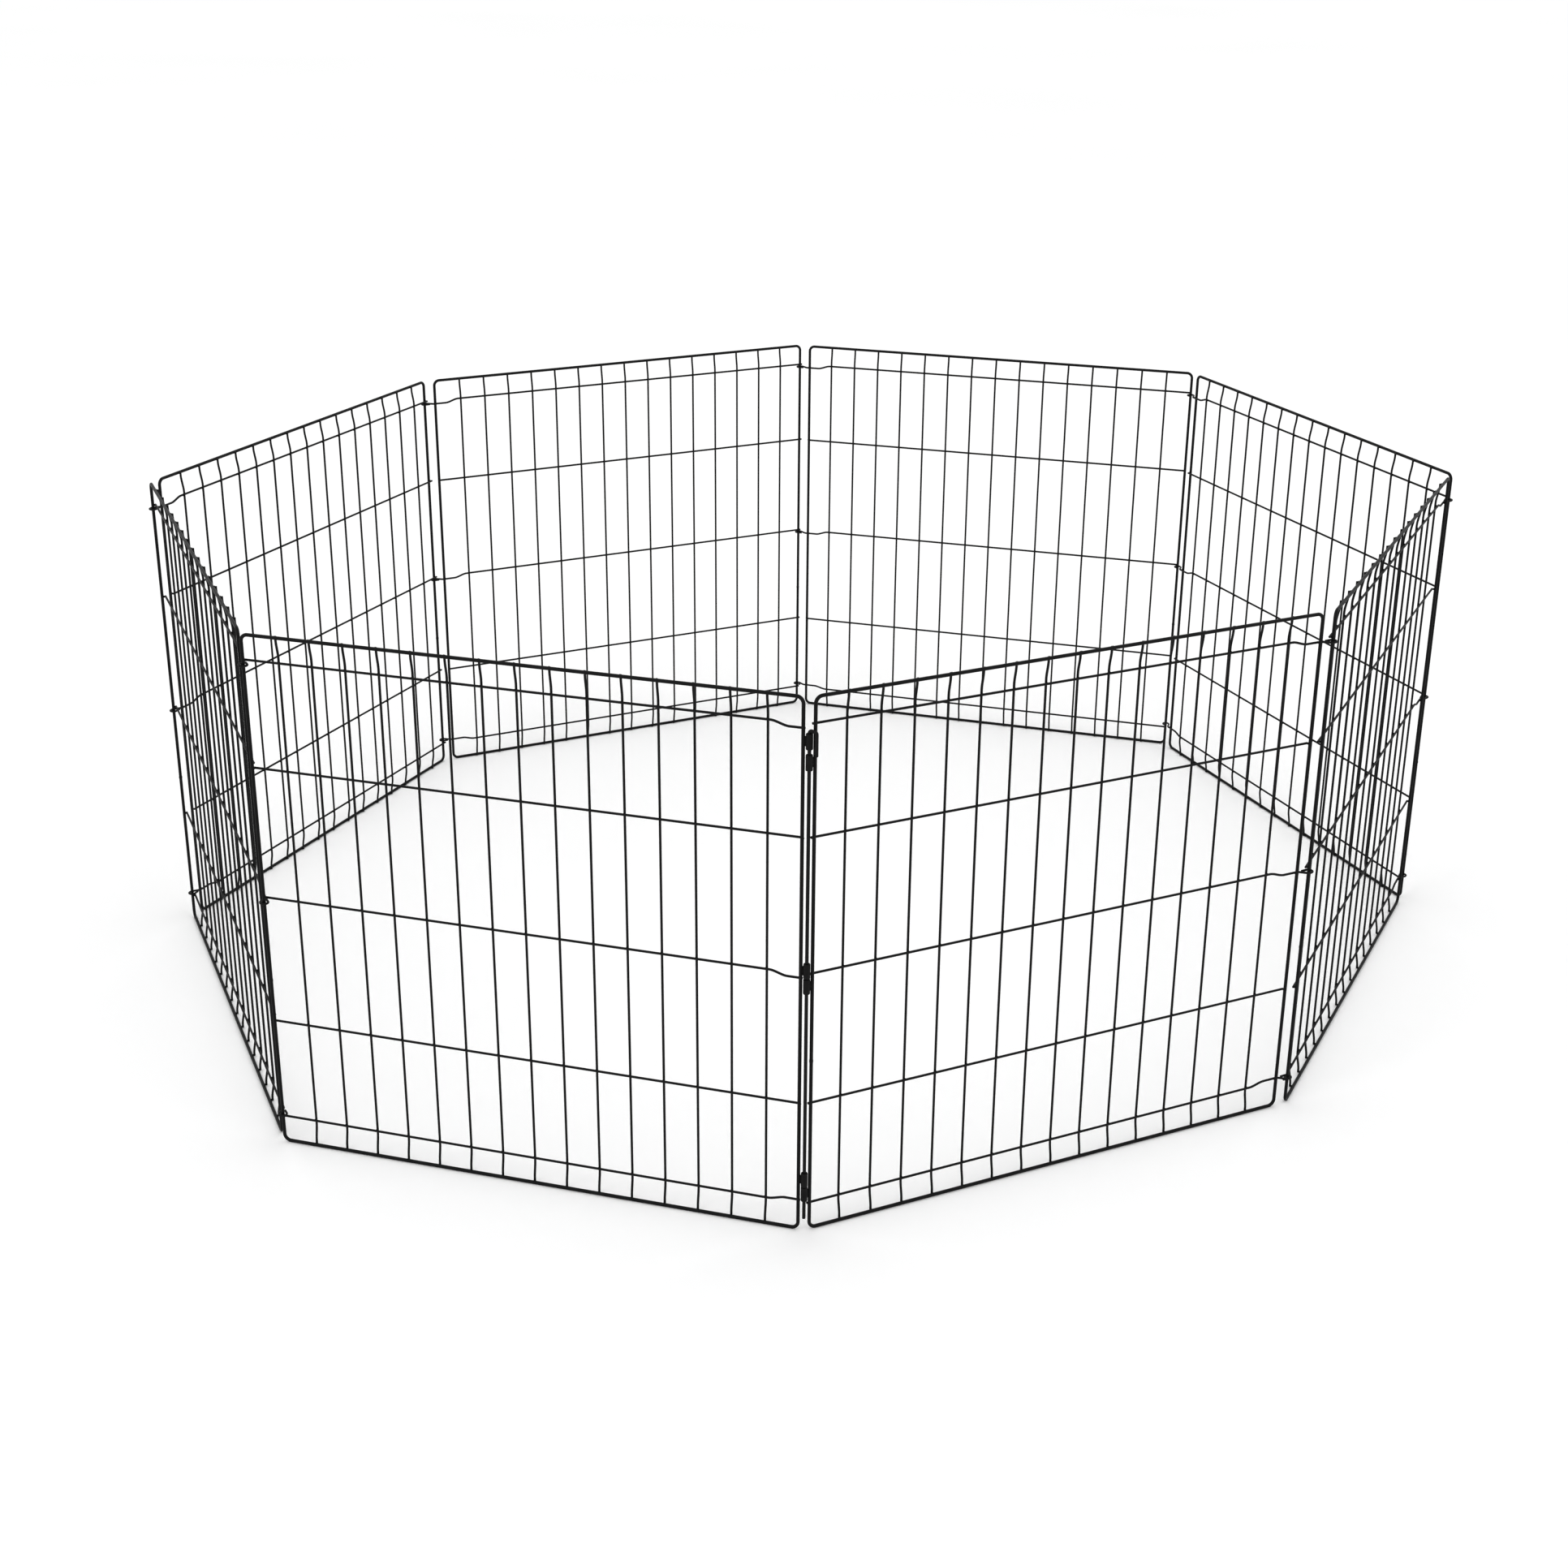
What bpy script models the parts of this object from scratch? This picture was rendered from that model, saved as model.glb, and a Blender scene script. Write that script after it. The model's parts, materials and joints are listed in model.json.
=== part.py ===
"""A folding playpen for a pet: eight welded wire panels joined in a ring.

Each panel is a rounded frame of thick wire that carries fifteen uprights and five
rails of thinner wire. Three rails of a panel step a little up or down, run on past its
far post, cross to the outside in the gap and hook back round the next panel's post,
which makes the hinges. The ring closes at the front corner, where a long drop pin
stands in six short barrels.

Metres, +Z up. The ring stands on z = 0 with the pinned corner towards -Y.
"""

import math

import bmesh
import bpy
from mathutils import Matrix, Vector

# Driving dimensions
PANEL_SIZE = 0.6096  # each panel is 24 in wide and 24 in high, over the frame wire
FRAME_WIRE = 0.0038
GRID_WIRE = 0.0026
PIN_WIRE = 0.0037
FRAME_CORNER_RADIUS = 0.0075
UPRIGHT_COUNT = 15
HINGE_RAIL_HEIGHTS = {"top": 0.5786, "middle": 0.3048, "bottom": 0.0310}
STAY_RAIL_HEIGHT = 0.4566
LOWER_RAIL_HEIGHT = 0.1530
HINGE_GAP = 0.0164  # from a panel's far post to the next panel's near post
PIN_OFFSET = 0.0064  # from the pin's axis to the post on each side of it
CONTACT_GAP = 0.0004  # left between wires that are welded on the real pen

# The corners as the pen is set out: the direction of four panels, seen from above.
# The other four follow, because the even and the odd panels each close a loop.
PANEL_DIRECTIONS = {
    "front_left": math.radians(-21.0),
    "front_right": math.radians(21.0),
    "right_front": math.radians(59.5),
    "right_back": math.radians(108.5),
}

# Rails
RAIL_STUB = 0.0018  # how far a rail runs on past the near post's axis
PIN_SIDE_STUB = 0.0012  # the same, past the far post at the pinned corner
HINGE_RAIL_STEPS = {"top": -0.0047, "middle": -0.0047, "bottom": 0.0040}
STEP_START = 0.003  # from the last upright to the start of the step
STEP_LENGTH = 0.020
CROSS_START = 0.002  # from the far post's axis to the start of the crossing
CROSS_END = 0.001  # from the end of the crossing to the next panel's post axis
HOOK_RADIUS = 0.0042  # of the rail's centre line round that post
HOOK_TAIL = 0.007  # how far the cut tail reaches back from that post's axis
HOOK_TAIL_OFFSET = 0.0038

# Uprights
UPRIGHT_END_INSET = 0.0012  # the tips stay inside the frame's height by this much
UPRIGHT_BEND = 0.022  # each end leans out to the frame wire over this height
WELD_DEPTH = 0.0005  # how far the uprights sink into the stay rail

# Pinned corner
BARREL_LENGTH = 0.0170
BARREL_RADIUS = 0.0036
BARREL_BORE_RADIUS = 0.0022
LEFT_BARREL_HEIGHTS = {"top": 0.5618, "middle": 0.3107, "bottom": 0.0631}
RIGHT_BARREL_HEIGHTS = {"top": 0.5396, "middle": 0.2932, "bottom": 0.0456}
PIN_FOOT = 0.0150
PIN_SHOULDER = 0.5706  # where the pin starts to bend over into its grip
PIN_GRIP_BEND = 0.0026
PIN_GRIP_SPAN = 0.0085
PIN_GRIP_LEG = 0.023
PIN_GRIP_DIRECTION = math.radians(-40.0)

# Smoothness of the wires
FRAME_SIDES = 8
GRID_SIDES = 6
CORNER_STEPS = 4
HOOK_STEPS = 5
STEP_STEPS = 3
CROSS_STEPS = 4
GRIP_STEPS = 4
BARREL_STEPS = 12

# Derived
POST_SPACING = PANEL_SIZE - FRAME_WIRE
UPRIGHT_PITCH = POST_SPACING / (UPRIGHT_COUNT + 1)
FRAME_RADIUS = FRAME_WIRE / 2
GRID_RADIUS = GRID_WIRE / 2
RAIL_OFFSET = FRAME_RADIUS + GRID_RADIUS + CONTACT_GAP  # rails lie inside the posts
UPRIGHT_OFFSET = RAIL_OFFSET + GRID_WIRE + CONTACT_GAP  # uprights lie inside the rails
STAY_RAIL_OFFSET = UPRIGHT_OFFSET - GRID_WIRE + WELD_DEPTH
LINK_LENGTH = POST_SPACING + HINGE_GAP

PANELS = (
    "front_right",
    "right_front",
    "right_back",
    "back_right",
    "back_left",
    "left_back",
    "left_front",
    "front_left",
)
FIXED_PANEL = PANELS.index("back_left")


# Scene helpers


def clear_scene():
    for leftover in list(bpy.data.objects):
        bpy.data.objects.remove(leftover, do_unlink=True)


def new_collection(name):
    collection = bpy.data.collections.new(name)
    bpy.context.scene.collection.children.link(collection)
    return collection


def coated_steel(name, colour, roughness, metallic):
    material = bpy.data.materials.new(name)
    material.use_nodes = True
    shader = material.node_tree.nodes["Principled BSDF"]
    shader.inputs["Base Color"].default_value = (*colour, 1.0)
    shader.inputs["Roughness"].default_value = roughness
    shader.inputs["Metallic"].default_value = metallic
    return material


def evaluated_mesh(source):
    """The mesh that an object makes with its modifiers or its bevel, caps welded on."""
    bpy.context.scene.collection.objects.link(source)
    graph = bpy.context.evaluated_depsgraph_get()
    mesh = bpy.data.meshes.new_from_object(source.evaluated_get(graph))
    bpy.data.objects.remove(source, do_unlink=True)
    shape = bmesh.new()
    shape.from_mesh(mesh)
    bmesh.ops.remove_doubles(shape, verts=shape.verts, dist=1e-6)
    bmesh.ops.recalc_face_normals(shape, faces=shape.faces)
    shape.to_mesh(mesh)
    shape.free()
    mesh.shade_smooth()
    mesh.set_sharp_from_angle(angle=math.radians(60))
    return mesh


def wire_mesh(name, runs, radius, sides, closed=False):
    """Round wire bent along each run of points, with filled ends unless closed."""
    curve = bpy.data.curves.new(name, "CURVE")
    curve.dimensions = "3D"
    curve.twist_mode = "MINIMUM"
    curve.bevel_depth = radius
    curve.bevel_resolution = (sides - 4) // 2
    curve.use_fill_caps = not closed
    for run in runs:
        spline = curve.splines.new("POLY")
        spline.points.add(len(run) - 1)
        spline.use_cyclic_u = closed
        for point, place in zip(spline.points, run):
            point.co = (*place, 1.0)
            point.tilt = math.pi / sides
    return evaluated_mesh(bpy.data.objects.new(name, curve))


def arc(centre, radius, start, end, steps):
    """Points of an arc in a plane, as (across, up) pairs."""
    turns = [start + (end - start) * step / steps for step in range(steps + 1)]
    return [
        (centre[0] + radius * math.cos(turn), centre[1] + radius * math.sin(turn))
        for turn in turns
    ]


# The wires of a panel, in its own axes: +X from its near post to its far post,
# +Y into the pen, +Z up, with the near post's axis at the origin


def frame_mesh():
    """The thick outer wire, bent to a rounded square and butt-welded into a loop."""
    facet = FRAME_RADIUS * math.cos(math.pi / FRAME_SIDES)
    low, high = facet, PANEL_SIZE - facet
    left, right = 0.0, POST_SPACING
    r = FRAME_CORNER_RADIUS
    corners = (
        ((right - r, low + r), -90),
        ((right - r, high - r), 0),
        ((left + r, high - r), 90),
        ((left + r, low + r), 180),
    )
    loop = []
    for centre, start in corners:
        first = math.radians(start)
        loop += arc(centre, r, first, first + math.pi / 2, CORNER_STEPS)
    points = [(x, 0.0, z) for x, z in loop]
    return wire_mesh("frame_wire", [points], FRAME_RADIUS, FRAME_SIDES, closed=True)


def upright_path(number):
    """One upright: straight inside the rails, with both ends leaning out."""
    x = number * UPRIGHT_PITCH
    low, high = UPRIGHT_END_INSET, PANEL_SIZE - UPRIGHT_END_INSET
    return [
        (x, RAIL_OFFSET, low),
        (x, UPRIGHT_OFFSET, UPRIGHT_BEND),
        (x, UPRIGHT_OFFSET, PANEL_SIZE - UPRIGHT_BEND),
        (x, RAIL_OFFSET, high),
    ]


def uprights_mesh(helpers):
    """Fifteen uprights welded to the stay rail that holds their spacing."""
    paths = [upright_path(number) for number in range(1, UPRIGHT_COUNT + 1)]
    wires = wire_mesh("upright_wires", paths, GRID_RADIUS, GRID_SIDES)
    stay = [
        (-RAIL_STUB, STAY_RAIL_OFFSET, STAY_RAIL_HEIGHT),
        (POST_SPACING, STAY_RAIL_OFFSET, STAY_RAIL_HEIGHT),
    ]
    stay_mesh = wire_mesh("stay_rail_wire", [stay], GRID_RADIUS, GRID_SIDES)
    stay_rail = bpy.data.objects.new("stay_rail_helper", stay_mesh)
    stay_rail.hide_render = True
    stay_rail.display_type = "WIRE"
    helpers.objects.link(stay_rail)
    welded = bpy.data.objects.new("welded_uprights", wires)
    weld = welded.modifiers.new("weld_to_stay_rail", "BOOLEAN")
    weld.operation = "UNION"
    weld.solver = "EXACT"
    weld.object = stay_rail
    return evaluated_mesh(welded)


def rail_start(height):
    return (-RAIL_STUB, RAIL_OFFSET, height)


def easy_bend(start, end, steps):
    """Points of a gentle S bend from one place to another, as (along, aside) pairs."""
    points = []
    for step in range(steps + 1):
        share = step / steps
        eased = share * share * (3 - 2 * share)
        along = start[0] + (end[0] - start[0]) * share
        points.append((along, start[1] + (end[1] - start[1]) * eased))
    return points


def stepped_end(height, step):
    """The rail's step, up or down, between its last upright and its far post."""
    start = UPRIGHT_COUNT * UPRIGHT_PITCH + STEP_START
    end = start + STEP_LENGTH
    bend = easy_bend((start, height), (end, height + step), STEP_STEPS)
    return [(x, RAIL_OFFSET, z) for x, z in bend]


def hinge_rail_mesh(height, step):
    """A rail that crosses outwards in the gap and hooks back round the next post."""
    quarter = math.pi / 2
    cross_start = (POST_SPACING + CROSS_START, RAIL_OFFSET)
    cross_end = (LINK_LENGTH - CROSS_END, -HOOK_RADIUS)
    flat = easy_bend(cross_start, cross_end, CROSS_STEPS)
    flat += arc((LINK_LENGTH, 0.0), HOOK_RADIUS, -quarter, quarter, HOOK_STEPS)
    flat.append((LINK_LENGTH - HOOK_TAIL, HOOK_TAIL_OFFSET))
    hook = [(x, y, height + step) for x, y in flat]
    path = [rail_start(height), *stepped_end(height, step), *hook]
    return wire_mesh("hinge_rail_wire", [path], GRID_RADIUS, GRID_SIDES)


def pin_side_rail_mesh(height, step):
    """The same rail cut off behind the far post, at the pinned corner."""
    end = (POST_SPACING + PIN_SIDE_STUB, RAIL_OFFSET, height + step)
    path = [rail_start(height), *stepped_end(height, step), end]
    return wire_mesh("pin_side_rail_wire", [path], GRID_RADIUS, GRID_SIDES)


def lower_rail_mesh():
    """A plain rail that ends behind both posts."""
    path = [(x, RAIL_OFFSET, LOWER_RAIL_HEIGHT) for x in (-RAIL_STUB, POST_SPACING)]
    return wire_mesh("lower_rail_wire", [path], GRID_RADIUS, GRID_SIDES)


# The pinned corner, in axes with the pin's axis at the origin and +Z up


def barrel_mesh(height):
    """A short tube for the pin, turned from a rectangle beside the axis."""
    low, high = height - BARREL_LENGTH / 2, height + BARREL_LENGTH / 2
    section = bmesh.new()
    corners = [
        section.verts.new((radius, 0.0, z))
        for radius, z in (
            (BARREL_RADIUS, high),
            (BARREL_RADIUS, low),
            (BARREL_BORE_RADIUS, low),
            (BARREL_BORE_RADIUS, high),
        )
    ]
    for index, corner in enumerate(corners):
        section.edges.new((corner, corners[(index + 1) % len(corners)]))
    profile = bpy.data.meshes.new("barrel_section")
    section.to_mesh(profile)
    section.free()
    turned = bpy.data.objects.new("turned_barrel", profile)
    screw = turned.modifiers.new("turn", "SCREW")
    screw.axis = "Z"
    screw.steps = BARREL_STEPS
    screw.render_steps = BARREL_STEPS
    screw.use_merge_vertices = True
    screw.merge_threshold = 0.0001
    return evaluated_mesh(turned)


def pin_mesh():
    """The drop pin: one straight wire with its top bent over into a finger grip."""
    quarter = math.pi / 2
    near, far = PIN_GRIP_BEND, PIN_GRIP_SPAN - PIN_GRIP_BEND
    bend = arc((near, PIN_SHOULDER), PIN_GRIP_BEND, math.pi, quarter, GRIP_STEPS)
    bend += arc((far, PIN_SHOULDER), PIN_GRIP_BEND, quarter, 0.0, GRIP_STEPS)
    leg_end = (PIN_GRIP_SPAN, PIN_SHOULDER - PIN_GRIP_LEG)
    flat = [(0.0, PIN_FOOT), *bend, leg_end]
    along = Vector((math.cos(PIN_GRIP_DIRECTION), math.sin(PIN_GRIP_DIRECTION), 0.0))
    path = [along * out + Vector((0.0, 0.0, z)) for out, z in flat]
    return wire_mesh("drop_pin_wire", [path], PIN_WIRE / 2, FRAME_SIDES)


# Setting out the ring


def direction(angle):
    return Vector((math.cos(angle), math.sin(angle), 0.0))


def closing_directions(first, second):
    """Directions of the two equal links that bring two given links back to the start."""
    span = -(first + second)
    middle = math.atan2(span.y, span.x)
    half = math.acos(span.length / (2 * LINK_LENGTH))
    return middle - half, middle + half


def link_lengths():
    """From each panel's near pivot to its far pivot."""
    lengths = [LINK_LENGTH] * len(PANELS)
    lengths[0] += PIN_OFFSET
    lengths[-1] += PIN_OFFSET - HINGE_GAP
    return lengths


def panel_angles():
    """Every panel's direction, from the four that are chosen."""
    lengths = link_lengths()
    right = PANEL_DIRECTIONS["front_right"]
    right_back = PANEL_DIRECTIONS["right_back"]
    left = PANEL_DIRECTIONS["front_left"]
    right_front = PANEL_DIRECTIONS["right_front"]
    even = closing_directions(
        direction(right) * lengths[0], direction(right_back) * lengths[2]
    )
    odd = closing_directions(
        direction(left) * lengths[-1], direction(right_front) * lengths[1]
    )
    return [right, right_front, right_back, odd[0], even[0], odd[1], even[1], left]


def ring_pivots(angles):
    """The pivots in order: the pin, then the seven posts that the hooks go round."""
    pivots = [Vector((0.0, 0.0, 0.0))]
    for angle, length in zip(angles[:-1], link_lengths()):
        pivots.append(pivots[-1] + direction(angle) * length)
    return pivots


def add_empty(collection, name, world, parent, parent_world):
    empty = bpy.data.objects.new(name, None)
    empty.empty_display_size = 0.03
    empty.parent = parent
    empty.matrix_basis = parent_world.inverted() @ world
    collection.objects.link(empty)
    return empty


def add_part(collection, name, mesh, material, parent, offset):
    """A named copy of a mesh, under the empty on its body's joint."""
    part = bpy.data.objects.new(name, mesh)
    part.parent = parent
    part.location = offset
    if not mesh.materials:
        mesh.materials.append(material)
    collection.objects.link(part)
    return part


def panel_meshes(helpers):
    """The wires that all eight panels share."""
    meshes = {
        "frame": frame_mesh(),
        "uprights": uprights_mesh(helpers),
        "lower_rail": lower_rail_mesh(),
    }
    for level, height in HINGE_RAIL_HEIGHTS.items():
        step = HINGE_RAIL_STEPS[level]
        meshes[f"hinge_rail_{level}"] = hinge_rail_mesh(height, step)
        meshes[f"pin_side_rail_{level}"] = pin_side_rail_mesh(height, step)
    return meshes


def add_panel(collection, name, meshes, materials, parent, offset):
    """The six welded wires and wire groups of one panel."""
    last = name == PANELS[-1]
    add_part(
        collection, f"{name}_frame", meshes["frame"], materials["frame"], parent, offset
    )
    for wire in ("uprights", "lower_rail"):
        add_part(
            collection,
            f"{name}_{wire}",
            meshes[wire],
            materials["grid"],
            parent,
            offset,
        )
    for level in HINGE_RAIL_HEIGHTS:
        kind = "pin_side_rail" if last else "hinge_rail"
        mesh = meshes[f"{kind}_{level}"]
        label = f"{name}_{kind}_{level}"
        add_part(collection, label, mesh, materials["grid"], parent, offset)


def centre_over_origin(root):
    """Moves the pen so that the middle of its outline stands over the origin."""
    bpy.context.view_layer.update()
    points = [
        part.matrix_world @ vertex.co
        for part in root.children_recursive
        if part.type == "MESH"
        for vertex in part.data.vertices
    ]
    for axis in (0, 1):
        reach = [point[axis] for point in points]
        root.location[axis] -= (min(reach) + max(reach)) / 2


def build_playpen():
    clear_scene()
    pen = new_collection("pet_playpen")
    helpers = new_collection("helpers")
    helpers.hide_render = True
    materials = {
        "frame": coated_steel("frame_wire_coating", (0.012, 0.012, 0.013), 0.42, 0.0),
        "grid": coated_steel("grid_wire_coating", (0.014, 0.014, 0.015), 0.45, 0.0),
        "barrel": coated_steel("barrel_coating", (0.012, 0.012, 0.012), 0.50, 0.0),
        "pin": coated_steel("pin_coating", (0.016, 0.016, 0.017), 0.38, 0.0),
    }
    meshes = panel_meshes(helpers)
    angles = panel_angles()
    pivots = ring_pivots(angles)
    root = bpy.data.objects.new("pet_playpen_origin", None)
    pen.objects.link(root)

    # A panel before the fixed one turns on its far pivot, the others on the near one
    empties, worlds = {}, {}
    order = [
        *range(FIXED_PANEL, len(PANELS)),
        *range(FIXED_PANEL - 1, -1, -1),
    ]
    for index in order:
        turns_on_far = index < FIXED_PANEL
        pivot = pivots[index + 1] if turns_on_far else pivots[index]
        world = Matrix.Translation(pivot) @ Matrix.Rotation(angles[index], 4, "Z")
        if index == FIXED_PANEL:
            parent, parent_world = root, Matrix.Identity(4)
        else:
            neighbour = index + 1 if turns_on_far else index - 1
            parent, parent_world = empties[neighbour], worlds[neighbour]
        name = PANELS[index]
        empties[index] = add_empty(pen, f"{name}_pivot", world, parent, parent_world)
        worlds[index] = world
        offset = Vector((-LINK_LENGTH if turns_on_far else 0.0, 0.0, 0.0))
        add_panel(pen, name, meshes, materials, empties[index], offset)

    # The barrels stand on the pin's axis, each beside the post that carries it
    pin_world = Matrix.Translation(pivots[0])
    corners = (
        (PANELS[-1], LEFT_BARREL_HEIGHTS),
        (PANELS[0], RIGHT_BARREL_HEIGHTS),
    )
    for panel, heights in corners:
        index = PANELS.index(panel)
        carrier = add_empty(
            pen, f"{panel}_pin_axis", pin_world, empties[index], worlds[index]
        )
        for level, height in heights.items():
            label = f"{panel}_barrel_{level}"
            mesh = barrel_mesh(height)
            add_part(pen, label, mesh, materials["barrel"], carrier, Vector())
    pin_axis = add_empty(pen, "drop_pin_axis", pin_world, empties[0], worlds[0])
    add_part(pen, "drop_pin", pin_mesh(), materials["pin"], pin_axis, Vector())
    centre_over_origin(root)


build_playpen()
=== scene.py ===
import json
import math

import bmesh
import bpy
from mathutils import Matrix, Vector


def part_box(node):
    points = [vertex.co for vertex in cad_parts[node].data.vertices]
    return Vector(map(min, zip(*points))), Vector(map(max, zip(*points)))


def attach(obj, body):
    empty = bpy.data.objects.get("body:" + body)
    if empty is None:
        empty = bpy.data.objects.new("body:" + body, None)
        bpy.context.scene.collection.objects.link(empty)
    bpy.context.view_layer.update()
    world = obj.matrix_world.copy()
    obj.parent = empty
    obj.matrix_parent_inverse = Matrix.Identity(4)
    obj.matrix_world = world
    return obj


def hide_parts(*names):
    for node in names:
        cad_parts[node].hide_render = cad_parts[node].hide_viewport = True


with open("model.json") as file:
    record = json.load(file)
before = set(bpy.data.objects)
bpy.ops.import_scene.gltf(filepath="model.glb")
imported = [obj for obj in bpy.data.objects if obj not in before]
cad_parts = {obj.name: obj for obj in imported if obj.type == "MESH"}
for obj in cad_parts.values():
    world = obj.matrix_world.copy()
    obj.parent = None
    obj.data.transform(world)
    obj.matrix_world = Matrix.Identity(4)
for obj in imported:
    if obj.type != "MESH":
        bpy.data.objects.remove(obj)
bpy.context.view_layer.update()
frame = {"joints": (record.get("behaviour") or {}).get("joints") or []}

# Setting out. The pen is eight welded wire panels in a ring, hinged post to post, and
# closed by a drop pin at the front corner. A panel is drawn once in its own axes, +X
# from near post to far post, +Y into the pen and +Z up, and set down by its corners.
POST_SPACING = 0.6058
PIN_TO_POST = 0.0064
PANELS = (
    "front_right",
    "right_front",
    "right_back",
    "back_right",
    "back_left",
    "left_back",
    "left_front",
    "front_left",
)
CORNER_HINGES = (
    "front_right_corner_hinge",
    "right_corner_hinge",
    "right_back_corner_hinge",
    "back_corner_hinge",
    "left_back_corner_hinge",
    "left_corner_hinge",
    "front_left_corner_hinge",
)


def pin_axis_on_floor():
    low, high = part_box("front_left_barrel_top")
    return Vector(((low.x + high.x) / 2, (low.y + high.y) / 2, 0.0))


def panel_places():
    """Where each panel stands: its near post's axis, turned towards its far corner."""
    hinges = {joint["name"]: joint for joint in frame["joints"]}
    corners = [pin_axis_on_floor()]
    for hinge in CORNER_HINGES:
        x, y, _ = hinges[hinge]["pos_m"]
        corners.append(Vector((x, y, 0.0)))
    places = {}
    for number, panel in enumerate(PANELS):
        near, far = corners[number], corners[(number + 1) % len(corners)]
        along = (far - near).normalized()
        if number == 0:
            near = near + along * PIN_TO_POST
        turn = Matrix.Rotation(math.atan2(along.y, along.x), 4, "Z")
        places[panel] = Matrix.Translation(near) @ turn
    return places


places = panel_places()

# Frame wires. Each panel's outline is one thick steel wire, bent to a rounded square,
# butt-welded shut low on its near post, then coated satin black with the whole panel.
FRAME_RADIUS = 0.0019
FRAME_HEIGHT = 0.6096
FRAME_BEND = 0.0075
FRAME_SIDES = 20
BEND_STEPS = 12
BUTT_WELD_HEIGHT = 0.205
BUTT_WELD_SWELL = 0.00028
BUTT_WELD_REACH = 0.0026
BUTT_WELD_STEPS = 6
TIP_ROUNDING = 0.35  # how far a cut tip is dressed back, as a share of its radius
TIP_PROFILE = ((1.0, 1.0), (0.55, 0.965), (0.2, 0.86), (0.0, 0.66))  # back, width
CREASE = math.radians(50)
COATING_SHINE = 0.22
TONE_SCALE, TONE_DETAIL = 70.0, 3.0
TONE_START, TONE_END = 0.35, 0.72
GLOSS_SCALE, GLOSS_DETAIL = 240.0, 4.0
PEEL_SCALE, PEEL_DETAIL = 1100.0, 2.0
PEEL_DEPTH = 0.0001


def arc(centre, radius, start, end, steps):
    turns = [start + (end - start) * step / steps for step in range(steps + 1)]
    return [
        (centre[0] + radius * math.cos(turn), centre[1] + radius * math.sin(turn))
        for turn in turns
    ]


def neighbours(path, index, closed):
    """The points before and after one, which stop at the tips of an open wire."""
    count = len(path)
    if closed:
        return path[index - 1], path[(index + 1) % count]
    return path[max(index - 1, 0)], path[min(index + 1, count - 1)]


def carried_sides(path, closed):
    """A tangent and a steady side direction at each point of a bent wire."""
    tangents = []
    for index in range(len(path)):
        before, after = neighbours(path, index, closed)
        tangents.append((after - before).normalized())
    lead = Vector((0.0, 1.0, 0.0))
    side = (lead - tangents[0] * lead.dot(tangents[0])).normalized()
    sides = [side]
    for index in range(1, len(path)):
        turn = tangents[index - 1].rotation_difference(tangents[index])
        side = turn @ side
        side = (side - tangents[index] * side.dot(tangents[index])).normalized()
        sides.append(side)
    return tangents, sides


def tip_rings(point, outward, radius):
    """The closing rings of a cropped and tumbled wire tip."""
    reach = outward * radius * TIP_ROUNDING
    return [(point - reach * back, radius * width) for back, width in TIP_PROFILE]


def skin(shape, loops, closed=False):
    """Faces from each loop of points to the next."""
    pairs = list(zip(loops, loops[1:]))
    if closed:
        pairs.append((loops[-1], loops[0]))
    for first, second in pairs:
        for step in range(len(first)):
            after = (step + 1) % len(first)
            shape.faces.new((first[step], first[after], second[after], second[step]))


def cap(shape, loop, point):
    """Faces from a loop of points to one point, which closes that end."""
    middle = shape.verts.new(point)
    for step in range(len(loop)):
        shape.faces.new((loop[step], loop[(step + 1) % len(loop)], middle))


def bend_wire(shape, points, radius, around, closed=False, swell=None):
    """Round wire along a path of points, with dressed tips unless it is a loop."""
    path = [Vector(point) for point in points]
    tangents, sides = carried_sides(path, closed)
    rings = []
    for index, point in enumerate(path):
        size = radius + (swell(point) if swell else 0.0)
        rings.append([(point, size)])
    if not closed:
        rings[0] = tip_rings(path[0], -tangents[0], radius)[::-1]
        rings[-1] = tip_rings(path[-1], tangents[-1], radius)
    loops = []
    for tangent, side, group in zip(tangents, sides, rings):
        cross = tangent.cross(side)
        for centre, size in group:
            loop = []
            for step in range(around):
                turn = 2 * math.pi * step / around
                reach = side * math.cos(turn) + cross * math.sin(turn)
                loop.append(shape.verts.new(centre + reach * size))
            loops.append(loop)
    skin(shape, loops, closed)
    if not closed:
        cap(shape, loops[0][::-1], path[0])
        cap(shape, loops[-1], path[-1])


def finished_mesh(name, shape):
    bmesh.ops.recalc_face_normals(shape, faces=shape.faces)
    mesh = bpy.data.meshes.new(name)
    shape.to_mesh(mesh)
    shape.free()
    mesh.shade_smooth()
    mesh.set_sharp_from_angle(angle=CREASE)
    return mesh


def wire_mesh(name, paths, radius, around, closed=False, swell=None):
    shape = bmesh.new()
    for points in paths:
        bend_wire(shape, points, radius, around, closed, swell)
    return finished_mesh(name, shape)


def socket(node, name, value):
    node.inputs[name].default_value = value


def speckle(nodes, links, source, scale, detail):
    """Soft random mottling of the coating, fixed to the steel."""
    noise = nodes.new("ShaderNodeTexNoise")
    socket(noise, "Scale", scale)
    socket(noise, "Detail", detail)
    links.new(source, noise.inputs["Vector"])
    return noise.outputs["Fac"]


def spread(nodes, links, source, low, high, start=0.3, end=0.7):
    reach = nodes.new("ShaderNodeMapRange")
    for name, value in (
        ("From Min", start),
        ("From Max", end),
        ("To Min", low),
        ("To Max", high),
    ):
        socket(reach, name, value)
    links.new(source, reach.inputs["Value"])
    return reach.outputs["Result"]


def uneven_gloss(nodes, links, place, smooth, rough):
    mottle = speckle(nodes, links, place, GLOSS_SCALE, GLOSS_DETAIL)
    return spread(nodes, links, mottle, smooth, rough)


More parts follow.
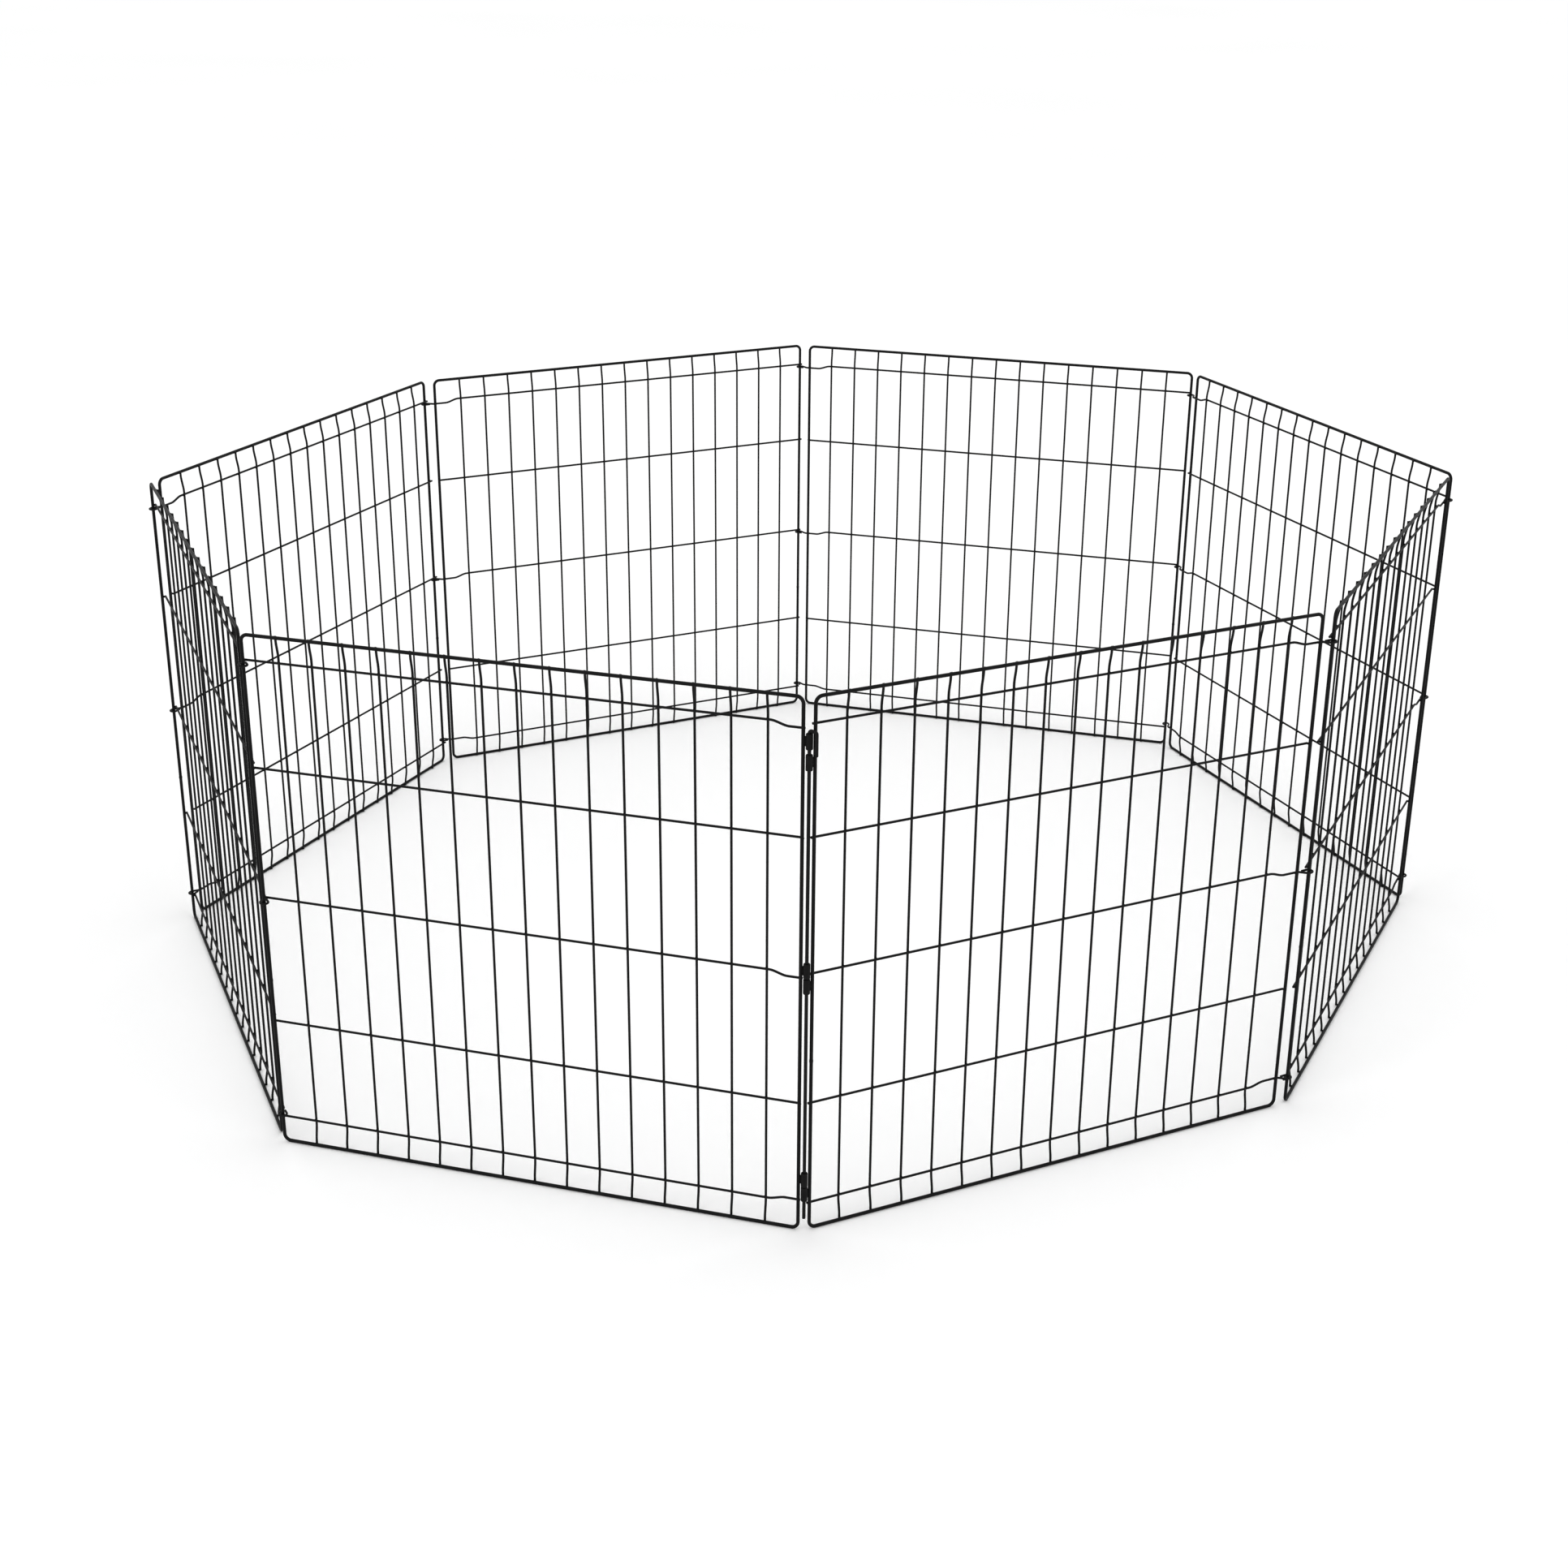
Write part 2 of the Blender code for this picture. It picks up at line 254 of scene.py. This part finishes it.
def satin_coating(name, dark, light, smooth, rough, peel, gloss=uneven_gloss):
    """Baked satin black coating: faint orange peel and slightly uneven gloss."""
    finish = bpy.data.materials.new(name)
    finish.use_nodes = True
    nodes, links = finish.node_tree.nodes, finish.node_tree.links
    shader = nodes["Principled BSDF"]
    socket(shader, "Specular IOR Level", COATING_SHINE)
    place = nodes.new("ShaderNodeTexCoord").outputs["Object"]
    tone = speckle(nodes, links, place, TONE_SCALE, TONE_DETAIL)
    ramp = nodes.new("ShaderNodeValToRGB")
    stops = ramp.color_ramp.elements
    for stop, position, colour in zip(stops, (TONE_START, TONE_END), (dark, light)):
        stop.position = position
        stop.color = (*colour, 1.0)
    links.new(tone, ramp.inputs["Fac"])
    links.new(ramp.outputs["Color"], shader.inputs["Base Color"])
    sheen = gloss(nodes, links, place, smooth, rough)
    links.new(sheen, shader.inputs["Roughness"])
    orange_peel = speckle(nodes, links, place, PEEL_SCALE, PEEL_DETAIL)
    bump = nodes.new("ShaderNodeBump")
    socket(bump, "Strength", peel)
    socket(bump, "Distance", PEEL_DEPTH)
    links.new(orange_peel, bump.inputs["Height"])
    links.new(bump.outputs["Normal"], shader.inputs["Normal"])
    return finish


def stand_piece(name, mesh, finish, place, body, slot, *nodes):
    """Puts a piece in its place on the pen and lets it ride with its body."""
    piece = bpy.data.objects.new(name, mesh)
    if not mesh.materials:
        mesh.materials.append(finish)
    bpy.context.scene.collection.objects.link(piece)
    piece.matrix_world = place
    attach(piece, body)
    if nodes:
        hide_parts(*nodes)


def stand_on_panel(panel, name, mesh, finish, slot, *nodes):
    """Sets a piece drawn in a panel's own axes down on that panel."""
    parts = [f"{panel}_{node}" for node in nodes]
    place, body = places[panel], f"{panel}_panel"
    stand_piece(f"{panel}_{name}", mesh, finish, place, body, slot, *parts)


def frame_loop():
    low, high = FRAME_RADIUS, FRAME_HEIGHT - FRAME_RADIUS
    left, right, r = 0.0, POST_SPACING, FRAME_BEND
    quarter = math.pi / 2
    corners = (
        ((right - r, low + r), -quarter),
        ((right - r, high - r), 0.0),
        ((left + r, high - r), quarter),
        ((left + r, low + r), math.pi),
    )
    loop = []
    for number, (centre, start) in enumerate(corners):
        loop += arc(centre, r, start, start + quarter, BEND_STEPS)
        if number == 2:
            for step in range(-BUTT_WELD_STEPS, BUTT_WELD_STEPS + 1):
                reach = BUTT_WELD_REACH * step / BUTT_WELD_STEPS
                loop.append((left, BUTT_WELD_HEIGHT - reach))
    return [(x, 0.0, z) for x, z in loop]


def butt_weld_swell(point):
    """The low ring of metal squeezed out where the wire's two ends were joined."""
    away = abs(point.z - BUTT_WELD_HEIGHT) / BUTT_WELD_REACH
    if point.x > FRAME_BEND or away >= 1.0:
        return 0.0
    return BUTT_WELD_SWELL * (1 + math.cos(math.pi * away)) / 2


frame_coating = satin_coating(
    "frame_wire_coating",
    dark=(0.0045, 0.0045, 0.0048),
    light=(0.0085, 0.0085, 0.009),
    smooth=0.36,
    rough=0.50,
    peel=0.35,
)
frame_wire = wire_mesh(
    "frame_wire",
    [frame_loop()],
    FRAME_RADIUS,
    FRAME_SIDES,
    closed=True,
    swell=butt_weld_swell,
)
for panel in PANELS:
    stand_on_panel(
        panel, "frame_wire", frame_wire, frame_coating, "frame_wire", "frame"
    )

# Uprights. Fifteen straight lengths of thinner wire stand inside the rails, and each
# tip is set over to meet the frame wire, where it is resistance-welded and cropped.
GRID_RADIUS = 0.0013
GRID_SIDES = 14
UPRIGHT_COUNT = 15
UPRIGHT_PITCH = POST_SPACING / (UPRIGHT_COUNT + 1)
UPRIGHT_OFFSET = 0.0066  # inside the post's axis
TIP_OFFSET = 0.0036
TIP_INSET = 0.0012
SET_OVER_LOW, SET_OVER_HIGH = 0.0045, 0.0270
SET_OVER_STEPS = 10


def easy_bend(start, end, steps):
    """A gentle S from one place to another, as (along, aside) pairs."""
    points = []
    for step in range(steps + 1):
        share = step / steps
        eased = share * share * (3 - 2 * share)
        along = start[0] + (end[0] - start[0]) * share
        points.append((along, start[1] + (end[1] - start[1]) * eased))
    return points


def upright_path(number):
    x = number * UPRIGHT_PITCH
    lower = [(TIP_INSET, TIP_OFFSET)]
    lower += easy_bend(
        (SET_OVER_LOW, TIP_OFFSET), (SET_OVER_HIGH, UPRIGHT_OFFSET), SET_OVER_STEPS
    )
    upper = [(FRAME_HEIGHT - z, y) for z, y in reversed(lower)]
    return [(x, y, z) for z, y in lower + upper]


grid_coating = satin_coating(
    "grid_wire_coating",
    dark=(0.005, 0.005, 0.0053),
    light=(0.0095, 0.0095, 0.010),
    smooth=0.38,
    rough=0.54,
    peel=0.4,
)
upright_wires = wire_mesh(
    "upright_wires",
    [upright_path(number) for number in range(1, UPRIGHT_COUNT + 1)],
    GRID_RADIUS,
    GRID_SIDES,
)
for panel in PANELS:
    stand_on_panel(
        panel, "upright_wires", upright_wires, grid_coating, "grid_wire", "uprights"
    )

# Stay rail and lower rail. Two plain straight wires tie the uprights together between
# the hinge rails, and end in cropped tips behind the two posts.
RAIL_OFFSET = 0.0036
RAIL_STUB = 0.0018
STAY_RAIL_HEIGHT, STAY_RAIL_OFFSET = 0.4566, 0.0045
LOWER_RAIL_HEIGHT = 0.1530


def plain_rail(name, aside, height):
    ends = [(-RAIL_STUB, aside, height), (POST_SPACING, aside, height)]
    return wire_mesh(name, [ends], GRID_RADIUS, GRID_SIDES)


stay_rail = plain_rail("stay_rail", STAY_RAIL_OFFSET, STAY_RAIL_HEIGHT)
lower_rail = plain_rail("lower_rail", RAIL_OFFSET, LOWER_RAIL_HEIGHT)
for panel in PANELS:
    stand_on_panel(panel, "stay_rail", stay_rail, grid_coating, "grid_wire")
    stand_on_panel(
        panel, "lower_rail_wire", lower_rail, grid_coating, "grid_wire", "lower_rail"
    )

# Hinge rails. Three rails of a panel step a little up or down before its far post,
# cross outwards in the gap and are bent back round the next panel's post, which is the
# whole hinge. The last panel's are cropped behind its far post, where the pin goes.
HINGE_HEIGHTS = {"top": 0.5786, "middle": 0.3048, "bottom": 0.0310}
HINGE_GAP = 0.0164
HINGE_STEPS = {"top": -0.0047, "middle": -0.0047, "bottom": 0.0040}
STEP_START = UPRIGHT_COUNT * UPRIGHT_PITCH + 0.003  # just past the last upright
STEP_LENGTH = 0.020
CROSS_START, CROSS_END = 0.002, 0.001
HOOK_RADIUS = 0.0042
HOOK_TAIL, HOOK_TAIL_OFFSET = 0.007, 0.0038
CRANK_STEPS, HOOK_STEPS = 14, 20
PIN_SIDE_STUB = 0.0012


def stepped_start(height, step):
    """From the near post, past the uprights and over the small step up or down."""
    stepped = (STEP_START + STEP_LENGTH, height + step)
    bend = easy_bend((STEP_START, height), stepped, CRANK_STEPS)
    return [(x, RAIL_OFFSET, z) for x, z in [(-RAIL_STUB, height), *bend]]


def hinge_rail_path(height, step):
    next_post = POST_SPACING + HINGE_GAP
    quarter = math.pi / 2
    flat = easy_bend(
        (POST_SPACING + CROSS_START, RAIL_OFFSET),
        (next_post - CROSS_END, -HOOK_RADIUS),
        CRANK_STEPS,
    )
    flat += arc((next_post, 0.0), HOOK_RADIUS, -quarter, quarter, HOOK_STEPS)
    flat.append((next_post - HOOK_TAIL, HOOK_TAIL_OFFSET))
    return stepped_start(height, step) + [(x, y, height + step) for x, y in flat]


def pin_side_rail_path(height, step):
    end = (POST_SPACING + PIN_SIDE_STUB, RAIL_OFFSET, height + step)
    return stepped_start(height, step) + [end]


for level, height in HINGE_HEIGHTS.items():
    step = HINGE_STEPS[level]
    hook, stub = hinge_rail_path(height, step), pin_side_rail_path(height, step)
    hooked = wire_mesh(f"hinge_rail_{level}", [hook], GRID_RADIUS, GRID_SIDES)
    cropped = wire_mesh(f"pin_side_rail_{level}", [stub], GRID_RADIUS, GRID_SIDES)
    for panel in PANELS:
        last = panel == PANELS[-1]
        rail = f"{'pin_side_rail' if last else 'hinge_rail'}_{level}"
        wire = cropped if last else hooked
        stand_on_panel(panel, f"{rail}_wire", wire, grid_coating, "grid_wire", rail)

# Spot welds. Wherever two wires of a panel cross, they are resistance-welded, which
# leaves a small squashed nugget between them under the coating.
NUGGET_ROUND = 10
NUGGET_RINGS = 5
NUGGET_UNEVEN = 0.05
CROSSING_WELD = (0.00155, 0.0008, 0.00155)  # half width, half depth, half height
TIP_WELD = (0.0015, 0.00085, 0.0017)
POST_WELD = (0.0017, 0.00085, 0.0015)
STAY_POST_WELD = (0.0017, 0.0012, 0.0015)
STAY_WELD_SHIFT = 0.0004


def add_nugget(shape, centre, reach):
    """A squashed bead of weld metal with its own slight unevenness."""
    x, y, z = centre
    width, depth, height = reach
    rings = []
    for ring in range(1, NUGGET_RINGS):
        rise = math.pi * ring / NUGGET_RINGS
        loop = []
        for step in range(NUGGET_ROUND):
            turn = 2 * math.pi * step / NUGGET_ROUND
            waver = math.sin(3 * turn + 40 * x + 90 * z)
            round_it = (1 + NUGGET_UNEVEN * waver) * math.sin(rise)
            across = width * round_it * math.cos(turn)
            up = height * round_it * math.sin(turn)
            place = (x + across, y + depth * math.cos(rise), z + up)
            loop.append(shape.verts.new(place))
        rings.append(loop)
    skin(shape, rings)
    cap(shape, rings[0][::-1], (x, y + depth, z))
    cap(shape, rings[-1], (x, y - depth, z))


def panel_welds():
    shape = bmesh.new()
    on_rail = (RAIL_OFFSET + UPRIGHT_OFFSET) / 2
    on_stay = (STAY_RAIL_OFFSET + UPRIGHT_OFFSET) / 2
    on_frame = (FRAME_RADIUS + TIP_OFFSET - GRID_RADIUS) / 2
    rail_heights = (*HINGE_HEIGHTS.values(), LOWER_RAIL_HEIGHT)
    rails = [(height, on_rail) for height in rail_heights]
    rails.append((STAY_RAIL_HEIGHT, on_stay))
    for number in range(1, UPRIGHT_COUNT + 1):
        x = number * UPRIGHT_PITCH
        for height, aside in rails:
            add_nugget(shape, (x, aside, height), CROSSING_WELD)
        for height in (FRAME_RADIUS, FRAME_HEIGHT - FRAME_RADIUS):
            add_nugget(shape, (x, on_frame, height), TIP_WELD)
    for level, height in HINGE_HEIGHTS.items():
        far_height = height + HINGE_STEPS[level]
        add_nugget(shape, (0.0, on_frame, height), POST_WELD)
        add_nugget(shape, (POST_SPACING, on_frame, far_height), POST_WELD)
    for x in (0.0, POST_SPACING):
        add_nugget(shape, (x, on_frame, LOWER_RAIL_HEIGHT), POST_WELD)
        stay = (x, on_frame + STAY_WELD_SHIFT, STAY_RAIL_HEIGHT)
        add_nugget(shape, stay, STAY_POST_WELD)
    return finished_mesh("panel_welds", shape)


welds = panel_welds()
for panel in PANELS:
    stand_on_panel(panel, "spot_welds", welds, grid_coating, "grid_wire")

# Barrels. Six short tubes rolled from steel strip stand on the pin's axis, three welded
# to the post on each side of the opening, so that the pin can drop through them all.
BARREL_RADIUS, BORE_RADIUS = 0.0036, 0.0022
BARREL_SHOULDER, BARREL_LIP = 0.0010, 0.0003
BARREL_COLUMNS = 44
SEAM_DEPTH = 0.00025
SEAM_TURNS = (-0.10, -0.04, 0.0, 0.04, 0.10)
SEAM_HALF_TURN = 0.05
OUTER_SHARE = 0.8  # the seam shows only this far out in the wall
SHOULDER_STEPS, LIP_STEPS = 6, 3
WELD_RUN_LENGTH = 0.0115
WELD_RUN_HALF_SIZE = (0.0011, 0.0015)  # towards the post, and along the tube's side
WELD_RUN_SHIFT = 0.0004
WELD_RUN_ROWS, WELD_RUN_ROUND = 14, 12
WELD_RIPPLE = 0.06


def barrel_section(half):
    """The wall's outline, as radius and height: rolled outside, lipped at the bore."""
    quarter = math.pi / 2
    outer = arc(
        (BARREL_RADIUS - BARREL_SHOULDER, half - BARREL_SHOULDER),
        BARREL_SHOULDER,
        0.0,
        quarter,
        SHOULDER_STEPS,
    )
    inner = arc(
        (BORE_RADIUS + BARREL_LIP, half - BARREL_LIP),
        BARREL_LIP,
        quarter,
        math.pi,
        LIP_STEPS,
    )
    top = outer + inner
    return top + [(radius, -z) for radius, z in reversed(top)]


def add_barrel(shape, centre, half, seam_turn):
    """One tube, its wall turned round the pin's axis and sunk a little at the seam."""
    turns = [seam_turn + turn for turn in SEAM_TURNS]
    open_turn = 2 * math.pi - 2 * SEAM_TURNS[-1]
    turns += [
        seam_turn + SEAM_TURNS[-1] + open_turn * step / BARREL_COLUMNS
        for step in range(1, BARREL_COLUMNS)
    ]
    columns = []
    for turn in turns:
        near_seam = abs(turn - seam_turn) < SEAM_HALF_TURN
        column = []
        for radius, z in barrel_section(half):
            outside = radius > BARREL_RADIUS * OUTER_SHARE
            reach = radius - (SEAM_DEPTH if near_seam and outside else 0.0)
            out = Vector((reach * math.cos(turn), reach * math.sin(turn), z))
            column.append(shape.verts.new(centre + out))
        columns.append(column)
    skin(shape, columns, closed=True)


def add_weld_run(shape, centre, along):
    """A short upright fillet of weld between tube and post, with faint ripples."""
    side = Vector((-along.y, along.x, 0.0))
    up = Vector((0.0, 0.0, WELD_RUN_LENGTH))
    towards, beside = WELD_RUN_HALF_SIZE
    loops = []
    for row in range(1, WELD_RUN_ROWS):
        share = row / WELD_RUN_ROWS
        ripple = 1 + WELD_RIPPLE * math.cos(9 * math.pi * share)
        swell = math.sin(math.pi * share) ** 0.5 * ripple
        loop = []
        for step in range(WELD_RUN_ROUND):
            turn = 2 * math.pi * step / WELD_RUN_ROUND
            flat = along * math.cos(turn) * towards + side * math.sin(turn) * beside
            loop.append(shape.verts.new(centre + flat * swell + up * (share - 0.5)))
        loops.append(loop)
    skin(shape, loops)
    cap(shape, loops[0][::-1], centre - up / 2)
    cap(shape, loops[-1], centre + up / 2)


barrel_coating = satin_coating(
    "barrel_coating",
    dark=(0.005, 0.005, 0.005),
    light=(0.010, 0.010, 0.010),
    smooth=0.40,
    rough=0.58,
    peel=0.5,
)
pin_axis = pin_axis_on_floor()
for panel, post in (("front_left", POST_SPACING), ("front_right", 0.0)):
    post_axis = places[panel] @ Vector((post, 0.0, 0.0))
    to_post = (post_axis - pin_axis).normalized()
    seam_turn = math.atan2(-to_post.y, -to_post.x)
    for level in HINGE_HEIGHTS:
        node = f"{panel}_barrel_{level}"
        low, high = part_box(node)
        shape = bmesh.new()
        middle = pin_axis + Vector((0.0, 0.0, (low.z + high.z) / 2))
        add_barrel(shape, middle, (high.z - low.z) / 2, seam_turn)
        stand_piece(
            f"{node}_tube",
            finished_mesh(f"{node}_tube", shape),
            barrel_coating,
            Matrix.Identity(4),
            f"{panel}_panel",
            "barrel",
            node,
        )
        bead = bmesh.new()
        beside = middle + to_post * (BARREL_RADIUS + WELD_RUN_SHIFT)
        add_weld_run(bead, beside, to_post)
        stand_piece(
            f"{node}_weld",
            finished_mesh(f"{node}_weld", bead),
            barrel_coating,
            Matrix.Identity(4),
            f"{panel}_panel",
            "barrel",
        )

# Drop pin. One length of the thick wire stands in all six barrels and locks the ring.
# Its top is bent over into a small finger grip, and its foot is rounded to find the
# barrels. Sliding keeps its coating a little glossier than the rest.
PIN_RADIUS = 0.00185
PIN_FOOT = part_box("drop_pin")[0].z
PIN_SHOULDER = 0.5706
GRIP_BEND, GRIP_SPAN = 0.0026, 0.0085
GRIP_LEG = 0.023
GRIP_TURN = math.radians(-40.0)
GRIP_STEPS = 10
RUB_STRETCH = 0.03
RUB_SCALE, RUB_DETAIL = 1800.0, 2.0
RUB_START, RUB_END = 0.35, 0.65


def pin_path():
    quarter = math.pi / 2
    near, far = GRIP_BEND, GRIP_SPAN - GRIP_BEND
    bend = arc((near, PIN_SHOULDER), GRIP_BEND, math.pi, quarter, GRIP_STEPS)
    bend += arc((far, PIN_SHOULDER), GRIP_BEND, quarter, 0.0, GRIP_STEPS)
    flat = [(0.0, PIN_FOOT), *bend, (GRIP_SPAN, PIN_SHOULDER - GRIP_LEG)]
    out = Vector((math.cos(GRIP_TURN), math.sin(GRIP_TURN), 0.0))
    return [out * reach + Vector((0.0, 0.0, z)) for reach, z in flat]


def rubbed_gloss(nodes, links, place, smooth, rough):
    """Long faint rub marks, where the pin slides in its barrels."""
    stretch = nodes.new("ShaderNodeMapping")
    socket(stretch, "Scale", (1.0, 1.0, RUB_STRETCH))
    links.new(place, stretch.inputs["Vector"])
    drawn_out = stretch.outputs["Vector"]
    streaks = speckle(nodes, links, drawn_out, RUB_SCALE, RUB_DETAIL)
    return spread(nodes, links, streaks, smooth, rough, RUB_START, RUB_END)


pin_coating = satin_coating(
    "pin_coating",
    dark=(0.005, 0.005, 0.0053),
    light=(0.010, 0.010, 0.0105),
    smooth=0.26,
    rough=0.46,
    peel=0.25,
    gloss=rubbed_gloss,
)
drop_pin = wire_mesh("drop_pin_wire", [pin_path()], PIN_RADIUS, FRAME_SIDES)
stand_piece(
    "drop_pin_wire",
    drop_pin,
    pin_coating,
    Matrix.Translation(pin_axis),
    "drop_pin",
    "pin",
    "drop_pin",
)

# Studio. A wide matt white floor under an even white surround, with two large soft
# lights overhead, and the camera on a stand in front of the pinned corner.
FLOOR_REACH = 60.0
FLOOR_TONES = (0.92, 0.94)
FLOOR_MOTTLE_SCALE, FLOOR_MOTTLE_DETAIL = 0.4, 2.0
SURROUND_STRENGTH = 1.08
SOFTBOX_SIZE = 1.0
SOFTBOXES = (
    ("left_softbox", (-2.6, -2.4, 3.2), 10.0),
    ("right_softbox", (2.8, 0.6, 3.4), 8.0),
)
SOFTBOX_AIM = Vector((0.0, 0.0, 0.2))
CAMERA_AT = Vector((-0.2654, -2.8744, 1.4016))
CAMERA_YAW = math.radians(-4.681)
CAMERA_RISE = math.radians(22.882)
CAMERA_ROLL = math.radians(0.43)
CAMERA_LENS = 53.28
CAMERA_SENSOR = 36.0
FARTHEST_SEEN = 200.0
VIEW_GAMMA = 0.8  # keeps thin black wire dark against the white ground


def white_floor():
    shape = bmesh.new()
    bmesh.ops.create_grid(shape, x_segments=2, y_segments=2, size=FLOOR_REACH)
    mesh = bpy.data.meshes.new("studio_floor")
    shape.to_mesh(mesh)
    shape.free()
    paint = bpy.data.materials.new("matt_white_floor")
    paint.use_nodes = True
    nodes, links = paint.node_tree.nodes, paint.node_tree.links
    shader = nodes["Principled BSDF"]
    socket(shader, "Specular IOR Level", 0.0)
    socket(shader, "Roughness", 1.0)
    place = nodes.new("ShaderNodeTexCoord").outputs["Object"]
    mottle = speckle(nodes, links, place, FLOOR_MOTTLE_SCALE, FLOOR_MOTTLE_DETAIL)
    tone = spread(nodes, links, mottle, *FLOOR_TONES)
    links.new(tone, shader.inputs["Base Color"])
    mesh.materials.append(paint)
    floor = bpy.data.objects.new("studio_floor", mesh)
    bpy.context.scene.collection.objects.link(floor)


def soft_light(name, place, power):
    lamp = bpy.data.lights.new(name, "AREA")
    lamp.shape = "SQUARE"
    lamp.size = SOFTBOX_SIZE
    lamp.energy = power
    holder = bpy.data.objects.new(name, lamp)
    holder.location = place
    aim = SOFTBOX_AIM - Vector(place)
    holder.rotation_euler = aim.to_track_quat("-Z", "Y").to_euler()
    bpy.context.scene.collection.objects.link(holder)


def set_up_camera():
    back = Vector(
        (
            math.sin(CAMERA_YAW) * math.cos(CAMERA_RISE),
            -math.cos(CAMERA_YAW) * math.cos(CAMERA_RISE),
            math.sin(CAMERA_RISE),
        )
    )
    level = Vector((math.cos(CAMERA_YAW), math.sin(CAMERA_YAW), 0.0))
    rise = back.cross(level)
    right = level * math.cos(CAMERA_ROLL) + rise * math.sin(CAMERA_ROLL)
    up = back.cross(right)
    lens = bpy.data.cameras.new("studio_camera")
    lens.lens = CAMERA_LENS
    lens.sensor_width = CAMERA_SENSOR
    lens.clip_end = FARTHEST_SEEN
    camera = bpy.data.objects.new("studio_camera", lens)
    turned = Matrix((right, up, back)).transposed().to_4x4()
    camera.matrix_world = Matrix.Translation(CAMERA_AT) @ turned
    bpy.context.scene.collection.objects.link(camera)
    bpy.context.scene.camera = camera


white_floor()
for name, place, power in SOFTBOXES:
    soft_light(name, place, power)
set_up_camera()
surround = bpy.data.worlds.new("white_surround")
surround.use_nodes = True
backdrop = surround.node_tree.nodes["Background"]
socket(backdrop, "Color", (1.0, 1.0, 1.0, 1.0))
socket(backdrop, "Strength", SURROUND_STRENGTH)
bpy.context.scene.world = surround
bpy.context.scene.view_settings.view_transform = "Standard"
bpy.context.scene.view_settings.gamma = VIEW_GAMMA
